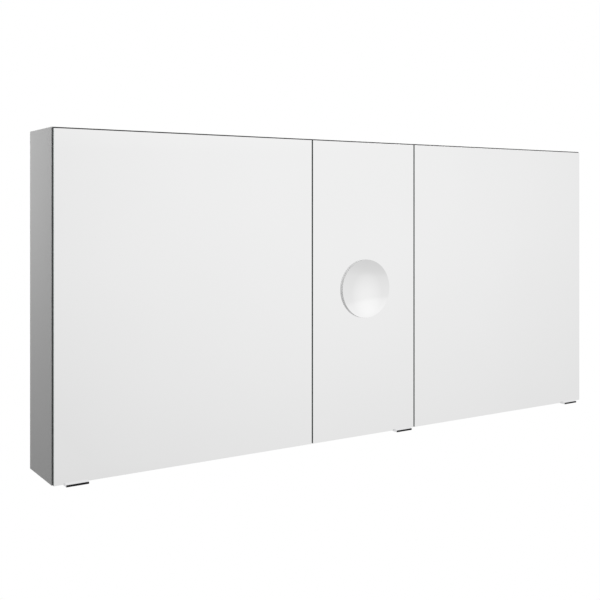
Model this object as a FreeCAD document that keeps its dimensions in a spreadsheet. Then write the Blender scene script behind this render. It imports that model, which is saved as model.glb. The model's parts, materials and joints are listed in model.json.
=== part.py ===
import FreeCAD, Part
import math
import os
import re

import Sketcher

# A wall-hung mirror cabinet with three mirror doors and a round magnifying mirror, in millimetres.
# The frame: +X to the right as seen from the front, +Y into the wall, +Z up.
# The origin is the middle of the face that lies against the wall.

SIZES = {
    # Carcass
    "cabinet_width": 1500,
    "cabinet_height": 700,
    "carcass_depth": 142,
    "board": 16,
    "back_board": 10,
    "edge_band": 1,
    "partition_pitch": 300,
    # Wall fixing
    "wall_hole_radius": 3.5,
    "wall_hole_pitch_x": 1240,
    "wall_hole_pitch_z": 540,
    "wall_plate_width": 60,
    "wall_plate_height": 40,
    "wall_plate_thickness": 2,
    # Dowels that join the boards
    "dowel_radius": 4,
    "dowel_length": 30,
    "dowel_in_face": 10,
    "dowel_inset": 30,
    # Glass shelves and their supports
    "shelf_thickness": 6,
    "shelf_depth": 115,
    "shelf_gap": 1,
    "shelf_pitch": 222,
    "support_radius": 2.5,
    "support_in_board": 7,
    "support_reach": 9,
    "support_inset": 18,
    "tongue_width": 8,
    "tongue_thickness": 3,
    # Doors
    "door_gap": 3.4,
    "door_standoff": 2.5,
    "top_reveal": 1.2,
    "bottom_reveal": 2.5,
    "pane_drop": 2.4,
    "front_glass": 3,
    "door_core": 6,
    "rear_glass": 3,
    "rear_glass_inset": 3,
    "glass_chamfer": 0.5,
    "bumper_radius": 2.5,
    "bumper_clearance": 0.3,
    "bumper_inset": 60,
    # Hinges: a cup in the door turns on a cross pin at the end of a goose-neck arm
    "hinge_inset": 100,
    "pin_radius": 1.25,
    "pin_inset": 6,
    "pin_play": 0.05,
    "pin_cover": 0.4,
    "cup_inset": 2.4,
    "cup_length": 19.6,
    "cup_height": 22,
    "cup_end_wall": 0.8,
    "cup_side_wall": 3,
    "cup_clearance": 0.2,
    "flange_length": 31.6,
    "flange_height": 40,
    "flange_thickness": 1,
    "neck_thickness": 2,
    "neck_reach": 9.2,
    "arm_height": 12,
    "arm_depth": 62,
    "base_start": 22,
    "base_height": 18,
    "wing_depth": 16,
    "wing_height": 44,
    "wing_thickness": 2,
    # Screws
    "screw_radius": 1.5,
    "screw_head_radius": 2.7,
    "screw_head_height": 1.2,
    "cup_screw_inset": 28,
    "cup_screw_pitch": 28,
    "cup_screw_depth": 8,
    "base_screw_pitch": 31,
    "base_screw_depth": 7,
    # Clip pulls under the free ends of the doors
    "pull_length": 46,
    "pull_inset": 22,
    "narrow_pull_inset": 12,
    "pull_web": 4,
    "pull_back": 10,
    "pull_lip": 2.5,
    "pull_lip_thickness": 1.2,
    "pull_nose": 7,
    "pull_nose_height": 4.2,
    "pull_scoop_radius": 9.3,
    "pull_strip": 0.8,
    "pull_screw_pitch": 28,
    "pull_screw_depth": 12,
    # Round magnifying mirror, let into a well in the middle door
    "well_radius": 60,
    "well_depth": 4.6,
    "well_play": 0.4,
    "magnifier_radius": 69,
    "magnifier_lift": 0.3,
    "magnifier_pad_radius": 48,
    "magnifier_pad": 0.5,
    "magnifier_base": 0.8,
    "magnifier_glue": 0.2,
    "magnifier_glass": 1.2,
    "magnifier_curve": 240,
}

# Lengths and places that follow from the sizes
DERIVED = {
    "half_width": "cabinet_width / 2",
    "half_height": "cabinet_height / 2",
    "inner_half_width": "half_width - board",
    "inner_half_height": "half_height - board",
    "board_depth": "carcass_depth - edge_band",
    "partition_x": "partition_pitch / 2",
    "partition_depth": "board_depth - back_board",
    "side_bay": "inner_half_width - partition_x - board / 2",
    "middle_bay": "partition_pitch - board",
    "shelf_front": "-back_board - shelf_gap - shelf_depth",
    "door_back": "-carcass_depth - door_standoff",
    "core_back": "door_back - rear_glass",
    "core_front": "core_back - door_core",
    "door_front": "core_front - front_glass",
    "door_bottom": "bottom_reveal - half_height",
    "door_top": "half_height - top_reveal",
    "door_height": "door_top - door_bottom",
    "front_pane_height": "door_height - pane_drop",
    "side_door_width": "half_width - partition_x - door_gap / 2",
    "middle_door_width": "partition_pitch - door_gap",
    "cup_depth": "door_core + rear_glass",
    "pin_depth": "cup_depth - pin_cover - pin_radius - pin_play",
    "pin_half_length": "cup_height / 2 - cup_clearance",
    "partition_reach": "(board - door_gap) / 2",
    "arm_near": "pin_inset + neck_reach",
    "arm_far": "arm_near + neck_thickness",
    "base_depth": "arm_depth - base_start",
    "base_middle": "base_start + base_depth / 2",
    "scoop_rise": "pull_lip + pull_web - pull_nose_height",
    "scoop_run": "pull_nose - pull_lip_thickness",
    "scoop_chord": "sqrt(scoop_rise ^ 2 + scoop_run ^ 2)",
    "scoop_throw": "sqrt(pull_scoop_radius ^ 2 - scoop_chord ^ 2 / 4)",
    "scoop_out": "(pull_nose + pull_lip_thickness) / 2 + scoop_throw * scoop_rise / scoop_chord",
    "scoop_up": "pull_lip - scoop_rise / 2 + scoop_throw * scoop_run / scoop_chord",
    "well_floor": "core_front + well_depth",
    "boss_length": "well_depth + front_glass + magnifier_lift - magnifier_pad",
    "dish_middle": "magnifier_pad + magnifier_base + magnifier_glue + magnifier_glass",
}

# Each door: its hinged edge, the way it runs from there, its width, and how far its pull is from its free edge
DOORS = (
    {
        "name": "left",
        "edge": "-partition_x - door_gap / 2",
        "way": "-",
        "width": "side_door_width",
        "pull": "pull_inset",
    },
    {
        "name": "middle",
        "edge": "-partition_x + door_gap / 2",
        "way": "+",
        "width": "middle_door_width",
        "pull": "narrow_pull_inset",
    },
    {
        "name": "right",
        "edge": "partition_x + door_gap / 2",
        "way": "+",
        "width": "side_door_width",
        "pull": "pull_inset",
    },
)

# Each door's two hinges: the height of their middles
HINGES = {
    "upper": "door_top - hinge_inset",
    "lower": "door_bottom + hinge_inset",
}

# Each bay: the board on its left, the board on its right, its left face and its clear width
BAYS = (
    ("left", "left_side_panel", "left_partition", "-inner_half_width", "side_bay"),
    ("middle", "left_partition", "right_partition", "-partition_x + board / 2", "middle_bay"),
    ("right", "right_partition", "right_side_panel", "partition_x + board / 2", "side_bay"),
)

# The turn that points a cylinder's own axis along each direction
TURNS = {
    "+x": FreeCAD.Rotation(FreeCAD.Vector(0, 1, 0), 90),
    "-x": FreeCAD.Rotation(FreeCAD.Vector(0, 1, 0), -90),
    "+y": FreeCAD.Rotation(FreeCAD.Vector(1, 0, 0), -90),
    "-y": FreeCAD.Rotation(FreeCAD.Vector(1, 0, 0), 90),
    "+z": FreeCAD.Rotation(),
    "-z": FreeCAD.Rotation(FreeCAD.Vector(1, 0, 0), 180),
}

HALF_TURN = FreeCAD.Rotation(FreeCAD.Vector(0, 1, 0), 180)

# Two points closer than this are the same point
SAME_POINT = 1e-6

NODES = []
HOLES = {}

doc = FreeCAD.newDocument("mirror_cabinet")
sheet = doc.addObject("Spreadsheet::Sheet", "Sizes")
for row, (alias, value) in enumerate(SIZES.items(), start=1):
    sheet.set(f"A{row}", alias)
    sheet.set(f"B{row}", str(value))
    sheet.setAlias(f"B{row}", alias)
doc.recompute()


def formula(text):
    """The text with each size pointed at its cell and each derived length written out."""

    def swap(match):
        word = match.group(0)
        if word in SIZES:
            return f"Sizes.{word}"
        if word in DERIVED:
            return f"({formula(DERIVED[word])})"
        return word

    return re.sub(r"[a-z][a-z_]*", swap, text)


def number(text):
    """The present value of a formula."""
    return float(sheet.evalExpression(formula(text)))


def bind(item, **properties):
    """Ties properties of an object to formulas."""
    for name, text in properties.items():
        item.setExpression(name, formula(text))


def place(item, corner, turn=None):
    """Ties an object's place to three formulas, after an optional turn."""
    if turn is not None:
        item.Placement = FreeCAD.Placement(FreeCAD.Vector(), turn)
    for axis, text in zip("xyz", corner):
        item.setExpression(f"Placement.Base.{axis}", formula(text))


def box(label, lengths, corner):
    """A block with its lengths along X, Y and Z and its lowest corner."""
    item = doc.addObject("Part::Box", label)
    bind(item, Length=lengths[0], Width=lengths[1], Height=lengths[2])
    place(item, corner)
    return item


def rod(label, radius, length, start, way):
    """A round rod that starts at a point and runs one way, such as +x."""
    item = doc.addObject("Part::Cylinder", label)
    bind(item, Radius=radius, Height=length)
    place(item, start, TURNS[way])
    return item


def beyond(start, way, distance):
    """The point at a distance from another point, one way."""
    sign, axis = way
    moved = list(start)
    moved["xyz".index(axis)] += f" {sign} ({distance})"
    return moved


def group(label, items):
    """Separate solids that share one object."""
    item = doc.addObject("Part::Compound", label)
    item.Links = items
    return item


def fuse(label, items):
    item = doc.addObject("Part::MultiFuse", label)
    item.Shapes = items
    return item


def cut(label, blank, tools):
    """A blank with every tool taken out of it."""
    item = doc.addObject("Part::Cut", label)
    item.Base = blank
    item.Tool = group(f"{label}_cuts", tools)
    return item


def screw(label, length, start, way):
    """A screw whose tip is at a point, with its head the given way from there."""
    shank = rod(f"{label}_shank", "screw_radius", length, start, way)
    seat = beyond(start, way, length)
    head = rod(f"{label}_head", "screw_head_radius", "screw_head_height", seat, way)
    return fuse(label, [shank, head])


def node(item):
    """Marks an object as a sub-part with a file of its own."""
    NODES.append(item)
    return item


def hole(board, tool):
    """Lists a piece that a board is drilled for."""
    HOLES.setdefault(board, []).append(tool)


def drilled(label, blank):
    """A board with all its listed holes."""
    return node(cut(label, blank, HOLES[label]))


def origin_plane(body, role):
    return next(plane for plane in body.Origin.OriginFeatures if plane.Role == role)


def sketch_on(body, label, role):
    """An empty sketch on one of a body's own planes."""
    sketch = body.newObject("Sketcher::SketchObject", label)
    sketch.AttachmentSupport = [(origin_plane(body, role), "")]
    sketch.MapMode = "FlatFace"
    return sketch


def pin_point(sketch, geometry, point, label, corner):
    """Holds a sketch point at two formulas measured from the origin."""
    for kind, axis, text in zip(("DistanceX", "DistanceY"), "xy", corner):
        name = f"{label}_{axis}"
        place_at = Sketcher.Constraint(kind, -1, 1, geometry, point, number(text))
        sketch.renameConstraint(sketch.addConstraint(place_at), name)
        sketch.setExpression(f"Constraints.{name}", formula(text))


def outline(body, label, role, corners):
    """A closed outline of straight lines through corners given as formulas."""
    sketch = sketch_on(body, label, role)
    points = [FreeCAD.Vector(number(x), number(y), 0) for x, y in corners]
    count = len(points)
    for index in range(count):
        line = Part.LineSegment(points[index], points[(index + 1) % count])
        sketch.addGeometry(line, False)
    for index in range(count):
        sketch.addConstraint(Sketcher.Constraint("Coincident", index, 2, (index + 1) % count, 1))
    for index, corner in enumerate(corners):
        pin_point(sketch, index, 1, f"corner{index}", corner)
    return sketch


def oblong(low, high):
    """The four corners of an oblong from two opposite ones."""
    return [low, (high[0], low[1]), high, (low[0], high[1])]


def circle(body, label, role, middle, radius):
    """A circle with its middle and radius given as formulas."""
    sketch = sketch_on(body, label, role)
    centre = FreeCAD.Vector(number(middle[0]), number(middle[1]), 0)
    sketch.addGeometry(Part.Circle(centre, FreeCAD.Vector(0, 0, 1), number(radius)), False)
    pin_point(sketch, 0, 3, "middle", middle)
    size = sketch.addConstraint(Sketcher.Constraint("Radius", 0, number(radius)))
    sketch.renameConstraint(size, "round_size")
    sketch.setExpression("Constraints.round_size", formula(radius))
    return sketch


def swell(body, kind, sketch, length, both_ways=True):
    """A Pad or Pocket of a sketch, by default half its length to each side."""
    item = body.newObject(f"PartDesign::{kind}", f"{sketch.Label}_{kind.lower()}")
    item.Profile = sketch
    item.Midplane = both_ways
    bind(item, Length=length)
    return item


def from_hinge(door, distance):
    """The X of a point at a distance from a door's hinged edge."""
    return f"{door['edge']} {door['way']} ({distance})"


def lowest(door, near, far):
    """The lower X of a stretch of a door between two distances from its hinged edge."""
    return from_hinge(door, near if door["way"] == "+" else far)


def hinge_turn(door):
    """The turn of a hinge piece drawn for a door that runs to the right."""
    return None if door["way"] == "+" else HALF_TURN


def carcass_blanks():
    """The boards before they are drilled."""
    upright = ("board", "board_depth", "cabinet_height")
    level = ("2 * inner_half_width", "board_depth", "board")
    between = ("board", "partition_depth", "2 * inner_half_height")
    back = ("2 * inner_half_width", "back_board", "2 * inner_half_height")
    front, half_board = "-board_depth", "board / 2"
    corners = {
        "left_side_panel": (upright, ("-half_width", front, "-half_height")),
        "right_side_panel": (upright, ("inner_half_width", front, "-half_height")),
        "top_panel": (level, ("-inner_half_width", front, "inner_half_height")),
        "bottom_panel": (level, ("-inner_half_width", front, "-half_height")),
        "left_partition": (between, (f"-partition_x - {half_board}", front, "-inner_half_height")),
        "right_partition": (between, (f"partition_x - {half_board}", front, "-inner_half_height")),
        "back_panel": (back, ("-inner_half_width", "-back_board", "-inner_half_height")),
    }
    return {label: box(f"{label}_blank", *shape) for label, shape in corners.items()}


def edge_bands():
    """The strips along the front edges of the boards."""
    front = "-carcass_depth"
    upright = ("board", "edge_band", "cabinet_height")
    level = ("2 * inner_half_width", "edge_band", "board")
    between = ("board", "edge_band", "2 * inner_half_height")
    strips = [
        box("left_band", upright, ("-half_width", front, "-half_height")),
        box("right_band", upright, ("inner_half_width", front, "-half_height")),
        box("top_band", level, ("-inner_half_width", front, "inner_half_height")),
        box("bottom_band", level, ("-inner_half_width", front, "-half_height")),
        box("left_partition_band", between, ("-partition_x - board / 2", front, "-inner_half_height")),
        box("right_partition_band", between, ("partition_x - board / 2", front, "-inner_half_height")),
    ]
    node(group("carcass_edge_bands", strips))


def dowels():
    """The dowels at the four corners and at the ends of the partitions."""
    rows = {"front": "dowel_inset - board_depth", "rear": "-back_board - dowel_inset"}
    levels = {"top_panel": ("", "+z"), "bottom_panel": ("-", "-z")}
    sides = {"left_side_panel": ("-", "-x"), "right_side_panel": ("", "+x")}
    partitions = {"left_partition": "-partition_x", "right_partition": "partition_x"}
    made = []
    for row, y in rows.items():
        for level, (level_sign, up) in levels.items():
            for side, (side_sign, out) in sides.items():
                height = f"{level_sign}(half_height - board / 2)"
                start = beyond((f"{side_sign}inner_half_width", y, height), out, "dowel_in_face - dowel_length")
                dowel = rod(f"{row}_{level}_{side}_dowel", "dowel_radius", "dowel_length", start, out)
                hole(level, dowel)
                hole(side, dowel)
                made.append(dowel)
            for partition, x in partitions.items():
                start = beyond((x, y, f"{level_sign}inner_half_height"), up, "dowel_in_face - dowel_length")
                dowel = rod(f"{row}_{level}_{partition}_dowel", "dowel_radius", "dowel_length", start, up)
                hole(level, dowel)
                hole(partition, dowel)
                made.append(dowel)
    node(group("carcass_dowels", made))


def wall_plates():
    """Four steel plates inside the back panel that spread the load of the wall screws."""
    plates = []
    for across in ("-", "+"):
        for up in ("-", "+"):
            label = f"wall_plate_{'left' if across == '-' else 'right'}_{'low' if up == '-' else 'high'}"
            x, z = f"0 {across} wall_hole_pitch_x / 2", f"0 {up} wall_hole_pitch_z / 2"
            bore_length = "back_board + wall_plate_thickness"
            bore = rod(f"{label}_bore", "wall_hole_radius", bore_length, (x, "0", z), "-y")
            hole("back_panel", bore)
            sizes = ("wall_plate_width", "wall_plate_thickness", "wall_plate_height")
            corner = (
                f"{x} - wall_plate_width / 2",
                "-back_board - wall_plate_thickness",
                f"{z} - wall_plate_height / 2",
            )
            plates.append(cut(label, box(f"{label}_blank", sizes, corner), [bore]))
    node(group("wall_plates", plates))


def shelf_support(label, face, y, top, out, board):
    """A pin in a board with a flat tongue under the glass."""
    inward = "-x" if out == "+x" else "+x"
    middle = f"{top} - tongue_thickness / 2"
    start = beyond((face, y, middle), inward, "support_in_board")
    pin = rod(f"{label}_pin", "support_radius", "support_in_board", start, out)
    tongue_x = face if out == "+x" else f"{face} - support_reach"
    corner = (tongue_x, f"{y} - tongue_width / 2", f"{top} - tongue_thickness")
    tongue = box(f"{label}_tongue", ("support_reach", "tongue_width", "tongue_thickness"), corner)
    hole(board, pin)
    return fuse(label, [pin, tongue])


def shelves():
    """Two glass shelves in each bay, on four supports each."""
    rows = {"front": "shelf_front + support_inset", "rear": "-back_board - shelf_gap - support_inset"}
    levels = {"lower": "-shelf_pitch / 2", "upper": "shelf_pitch / 2"}
    supports = []
    for bay, left_board, right_board, left_face, width in BAYS:
        right_face = f"{left_face} + {width}"
        for level, underside in levels.items():
            lengths = (f"{width} - 2 * shelf_gap", "shelf_depth", "shelf_thickness")
            corner = (f"{left_face} + shelf_gap", "shelf_front", underside)
            node(box(f"{bay}_{level}_shelf", lengths, corner))
            for row, y in rows.items():
                label = f"{bay}_{level}_{row}_support"
                supports.append(shelf_support(f"{label}_left", left_face, y, underside, "+x", left_board))
                supports.append(shelf_support(f"{label}_right", right_face, y, underside, "-x", right_board))
    node(group("shelf_supports", supports))


def bumpers():
    """Soft stops on the front edges, behind the free edge of each door."""
    seats = {
        "left": "-half_width + board / 2",
        "middle": "partition_x - board / 4 - door_gap / 4",
        "right": "half_width - board / 2",
    }
    heights = {"low": "door_bottom + bumper_inset", "high": "door_top - bumper_inset"}
    length = "door_standoff - bumper_clearance"
    made = []
    for door, x in seats.items():
        for name, z in heights.items():
            start = (x, "-carcass_depth", z)
            made.append(rod(f"{door}_{name}_bumper", "bumper_radius", length, start, "-y"))
    node(group("door_bumpers", made))


def hinge_cup(label, door, height):
    """The die-cast cup and flange in the door, with the bores that turn on the pin."""
    body = doc.addObject("PartDesign::Body", f"{label}_casting")
    block = oblong(("cup_inset", "-cup_depth"), ("cup_inset + cup_length", "0"))
    swell(body, "Pad", outline(body, f"{label}_block", "XY_Plane", block), "cup_height")
    plate = oblong(("cup_inset", "0"), ("cup_inset + flange_length", "flange_thickness"))
    swell(body, "Pad", outline(body, f"{label}_flange", "XY_Plane", plate), "flange_height")
    mouth = oblong(
        ("cup_inset + cup_end_wall", "-cup_depth"),
        ("cup_inset + cup_length - cup_end_wall", "flange_thickness"),
    )
    clear_height = "cup_height - 2 * cup_side_wall"
    swell(body, "Pocket", outline(body, f"{label}_mouth", "XY_Plane", mouth), clear_height)
    bore = circle(body, f"{label}_bore", "XY_Plane", ("pin_inset", "-pin_depth"), "pin_radius + pin_play")
    swell(body, "Pocket", bore, "cup_height")
    place(body, (door["edge"], "door_back", height), hinge_turn(door))
    return body


def hinge_arm(label, door, height):
    """The goose-neck arm: out of the base, forward into the cup, and across to the pin."""
    body = node(doc.addObject("PartDesign::Body", label))
    half = "neck_thickness / 2"
    corners = [
        ("pin_inset", f"-pin_depth - {half}"),
        ("arm_far", f"-pin_depth - {half}"),
        ("arm_far", "arm_depth"),
        ("arm_near", "arm_depth"),
        ("arm_near", f"-pin_depth + {half}"),
        ("pin_inset", f"-pin_depth + {half}"),
    ]
    swell(body, "Pad", outline(body, f"{label}_side", "XY_Plane", corners), "arm_height")
    seat = circle(body, f"{label}_seat", "XY_Plane", ("pin_inset", "-pin_depth"), "pin_radius")
    pocket = swell(body, "Pocket", seat, "arm_height")
    doc.recompute()
    elbow = (number("arm_far"), number("-pin_depth - neck_thickness / 2"))
    bend = body.newObject("PartDesign::Fillet", f"{label}_bend")
    bend.Base = (pocket, upright_edges(pocket.Shape, elbow))
    bind(bend, Radius="neck_thickness")
    place(body, (door["edge"], "door_back", height), hinge_turn(door))


def upright_edges(shape, corner):
    """The names of the edges that stand along Z at a corner."""
    names = []
    for index, edge in enumerate(shape.Edges, start=1):
        ends = [vertex.Point for vertex in edge.Vertexes]
        if all(math.hypot(end.x - corner[0], end.y - corner[1]) < SAME_POINT for end in ends):
            names.append(f"Edge{index}")
    return names


def hinge_base(label, door, height):
    """The block that carries the arm on the partition, with a wing above and below for its screws."""
    body = doc.addObject("PartDesign::Body", f"{label}_casting")
    block = oblong(("partition_reach", "base_start"), ("arm_near", "arm_depth"))
    swell(body, "Pad", outline(body, f"{label}_block", "XY_Plane", block), "base_height")
    wings = oblong(
        ("partition_reach", "base_middle - wing_depth / 2"),
        ("partition_reach + wing_thickness", "base_middle + wing_depth / 2"),
    )
    swell(body, "Pad", outline(body, f"{label}_wings", "XY_Plane", wings), "wing_height")
    place(body, (door["edge"], "door_back", height), hinge_turn(door))
    return body


def screw_pair(label, pitch, make):
    """Two screws, half a pitch below and above a middle."""
    return [make(f"{label}_{name}", f"{sign} {pitch} / 2") for name, sign in (("low", "-"), ("high", "+"))]


def hinges(door, pins, base_screws):
    """A door's two hinges. Gives the screws that go into the door."""
    partition = "right_partition" if door["name"] == "right" else "left_partition"
    out = f"{door['way']}x"
    cup_screws = []
    for level, height in HINGES.items():
        label = f"{door['name']}_{level}_hinge"
        hinge_arm(f"{label}_arm", door, height)
        axis = (from_hinge(door, "pin_inset"), "door_back - pin_depth", f"{height} - pin_half_length")
        pins.append(rod(f"{label}_pin", "pin_radius", "2 * pin_half_length", axis, "+z"))

        def base_screw(name, shift, out=out, height=height):
            tip = (
                from_hinge(door, "partition_reach - base_screw_depth"),
                "door_back + base_middle",
                f"{height} {shift}",
            )
            return screw(name, "base_screw_depth + wing_thickness", tip, out)

        pair = screw_pair(f"{label}_base_screw", "base_screw_pitch", base_screw)
        for item in pair:
            hole(partition, item)
        base_screws.extend(pair)
        node(cut(f"{label}_base", hinge_base(f"{label}_base", door, height), pair))

        def cup_screw(name, shift, height=height):
            tip = (from_hinge(door, "cup_screw_inset"), "door_back - cup_screw_depth", f"{height} {shift}")
            return screw(name, "cup_screw_depth + flange_thickness", tip, "+y")

        pair = screw_pair(f"{label}_cup_screw", "cup_screw_pitch", cup_screw)
        cup_screws.extend(pair)
        node(cut(f"{label}_cup", hinge_cup(f"{label}_cup", door, height), pair))
    return cup_screws


def cup_pockets(door):
    """The pockets for a door's two cups, through the core and the rear mirror."""
    near = "cup_inset - cup_clearance"
    far = "cup_inset + cup_length + cup_clearance"
    lengths = ("cup_length + 2 * cup_clearance", "cup_depth", "cup_height + 2 * cup_clearance")
    pockets = []
    for level, height in HINGES.items():
        corner = (lowest(door, near, far), "core_front", f"{height} - cup_height / 2 - cup_clearance")
        pockets.append(box(f"{door['name']}_{level}_pocket", lengths, corner))
    return pockets


def front_mirror(door, wells):
    """The front pane, with a fine chamfer round its face. The core shows as a dark line above it."""
    label = f"{door['name']}_front_mirror"
    body = doc.addObject("PartDesign::Body", f"{label}_pane" if wells else label)
    far_corner = (door["width"], "front_pane_height")
    face = outline(body, f"{label}_face", "XZ_Plane", oblong(("0", "0"), far_corner))
    pane = swell(body, "Pad", face, "front_glass", both_ways=False)
    doc.recompute()
    front = min(range(len(pane.Shape.Faces)), key=lambda index: pane.Shape.Faces[index].CenterOfMass.y)
    chamfer = body.newObject("PartDesign::Chamfer", f"{label}_arris")
    chamfer.Base = (pane, [f"Face{front + 1}"])
    bind(chamfer, Size="glass_chamfer")
    place(body, (lowest(door, "0", door["width"]), "core_front", "door_bottom"))
    node(cut(label, body, wells) if wells else body)


def pull(door):
    """The clip pull with its dark nose strip. Gives the screws that hold it under the door."""
    label = f"{door['name']}_pull"
    far = f"{door['width']} - {door['pull']}"
    near = f"{far} - pull_length"
    left = lowest(door, near, far)
    bottom = "door_bottom - pull_web"
    web_depth = "pull_nose + pull_back"
    web = box(f"{label}_web", ("pull_length", web_depth, "pull_web"), (left, "door_front - pull_nose", bottom))
    lip_sizes = ("pull_length", "pull_nose", "pull_web + pull_lip")
    lip = box(f"{label}_lip", lip_sizes, (left, "door_front - pull_nose", bottom))
    blank = fuse(f"{label}_blank", [web, lip])
    scoop_axis = (left, "door_front - scoop_out", "door_bottom + scoop_up")
    scoop = rod(f"{label}_scoop", "pull_scoop_radius", "pull_length", scoop_axis, "+x")

    def pull_screw(name, shift):
        tip = (f"{left} + pull_length / 2 {shift}", "core_front + door_core / 2", "door_bottom + pull_screw_depth")
        return screw(name, "pull_screw_depth + pull_web - screw_head_height", tip, "-z")

    screws = screw_pair(f"{label}_screw", "pull_screw_pitch", pull_screw)
    node(cut(label, blank, [scoop, *screws]))
    strip_corner = (left, "door_front - pull_nose - pull_strip", bottom)
    node(box(f"{label}_strip", ("pull_length", "pull_strip", "pull_nose_height"), strip_corner))
    return screws


def hang_door(door, pins, base_screws):
    """One door: two mirror panes on a core, hung on two hinges, with a pull."""
    name = door["name"]
    wells = [magnifier_well()] if name == "middle" else []
    front_mirror(door, wells)
    cup_screws = hinges(door, pins, base_screws)
    pull_screws = pull(door)
    pockets = cup_pockets(door)
    core_corner = (lowest(door, "0", door["width"]), "core_front", "door_bottom")
    core = box(f"{name}_core_blank", (door["width"], "door_core", "door_height"), core_corner)
    node(cut(f"{name}_door_core", core, [*pockets, *wells, *cup_screws, *pull_screws]))
    rear_lengths = (
        f"{door['width']} - 2 * rear_glass_inset",
        "rear_glass",
        "door_height - 2 * rear_glass_inset",
    )
    rear_corner = (
        f"{core_corner[0]} + rear_glass_inset",
        "core_back",
        "door_bottom + rear_glass_inset",
    )
    rear = box(f"{name}_rear_blank", rear_lengths, rear_corner)
    node(cut(f"{name}_rear_mirror", rear, [*pockets, *cup_screws]))
    node(group(f"{name}_door_screws", [*cup_screws, *pull_screws]))


def magnifier_well():
    """The well for the magnifier, through the front pane and into the core."""
    return rod("magnifier_well", "well_radius", "well_depth + front_glass", ("0", "well_floor", "0"), "-y")


def magnifier():
    """The round concave mirror: a glued pad, a dished housing whose flange covers the well, and the bent glass."""
    floor = ("0", "well_floor", "0")
    node(rod("magnifier_pad", "magnifier_pad_radius", "magnifier_pad", floor, "-y"))
    seat = beyond(floor, "-y", "magnifier_pad")
    boss = rod("magnifier_boss", "well_radius - well_play", "boss_length", seat, "-y")
    flange_back = beyond(seat, "-y", "boss_length")
    flange = rod("magnifier_flange", "magnifier_radius", "magnifier_radius", flange_back, "-y")
    reaches = {
        "seat": "magnifier_curve + magnifier_glass + magnifier_glue",
        "back": "magnifier_curve + magnifier_glass",
        "front": "magnifier_curve",
    }
    balls = {}
    for name, reach in reaches.items():
        balls[name] = doc.addObject("Part::Sphere", f"magnifier_{name}_ball")
        bind(balls[name], Radius=reach)
        place(balls[name], beyond(floor, "-y", "dish_middle + magnifier_curve"))
    blank = fuse("magnifier_housing_blank", [boss, flange])
    node(cut("magnifier_housing", blank, [balls["seat"]]))
    glass = node(doc.addObject("Part::Common", "magnifier_glass"))
    glass.Base = cut("magnifier_sheet", balls["back"], [balls["front"]])
    glass.Tool = rod("magnifier_glass_blank", "magnifier_radius", "magnifier_radius", seat, "-y")


def write_parts():
    """Checks every object and writes each sub-part to a file of its own."""
    doc.recompute()
    failed = [item.Label for item in doc.Objects if {"Invalid", "Error"} & set(item.State)]
    failed += [item.Label for item in NODES if item.Shape.isNull() or not item.Shape.isValid()]
    if failed:
        raise RuntimeError(f"these objects failed: {sorted(set(failed))}")
    os.makedirs("parts", exist_ok=True)
    for item in NODES:
        item.Shape.exportStep(f"parts/{item.Label}.step")
    print(f"{len(NODES)} sub-parts, {sum(len(item.Shape.Solids) for item in NODES)} solids")


def main():
    blanks = carcass_blanks()
    edge_bands()
    dowels()
    wall_plates()
    shelves()
    bumpers()
    pins, base_screws = [], []
    for each in DOORS:
        hang_door(each, pins, base_screws)
    node(group("hinge_pins", pins))
    node(group("hinge_base_screws", base_screws))
    for label, blank in blanks.items():
        drilled(label, blank)
    magnifier()
    write_parts()


main()
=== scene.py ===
"""Dresses a wall-hung mirror cabinet: lacquered boards, mirror doors, hinges, pulls and glass shelves."""

import json
import math

import bmesh
import bpy
from bpy.props import FloatProperty, FloatVectorProperty, PointerProperty
from bpy.types import Operator, Panel, PropertyGroup
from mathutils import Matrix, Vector

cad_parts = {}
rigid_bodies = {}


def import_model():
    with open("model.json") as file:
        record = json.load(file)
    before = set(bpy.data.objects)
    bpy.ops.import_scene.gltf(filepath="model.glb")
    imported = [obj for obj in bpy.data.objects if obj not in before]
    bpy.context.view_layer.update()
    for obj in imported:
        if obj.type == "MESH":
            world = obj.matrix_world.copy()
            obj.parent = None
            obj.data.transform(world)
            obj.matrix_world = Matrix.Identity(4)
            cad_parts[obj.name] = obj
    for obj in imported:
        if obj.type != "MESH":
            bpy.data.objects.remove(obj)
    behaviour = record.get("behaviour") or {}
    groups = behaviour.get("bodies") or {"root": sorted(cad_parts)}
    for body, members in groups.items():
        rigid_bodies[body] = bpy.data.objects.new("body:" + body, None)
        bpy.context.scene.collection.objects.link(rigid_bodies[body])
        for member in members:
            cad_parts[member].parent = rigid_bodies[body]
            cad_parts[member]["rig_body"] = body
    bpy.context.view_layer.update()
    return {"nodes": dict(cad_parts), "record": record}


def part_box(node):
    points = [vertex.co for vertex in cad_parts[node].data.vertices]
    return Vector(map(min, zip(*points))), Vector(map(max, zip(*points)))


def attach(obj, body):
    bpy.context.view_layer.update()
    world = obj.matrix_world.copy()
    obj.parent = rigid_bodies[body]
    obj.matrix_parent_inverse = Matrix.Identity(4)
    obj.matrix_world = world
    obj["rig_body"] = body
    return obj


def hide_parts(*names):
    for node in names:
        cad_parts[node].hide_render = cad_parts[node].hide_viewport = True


bl_info = {
    "name": "Mirror Cabinet",
    "version": (1, 0, 0),
    "blender": (4, 5, 0),
    "location": "3D View > Sidebar > Cabinet",
    "description": "Models and finishes a wall-hung mirror cabinet and sets its studio",
    "category": "Add Mesh",
}

# Everything is in metres: +X to the right as seen from the front, +Y into the wall, +Z up.
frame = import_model()

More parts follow.
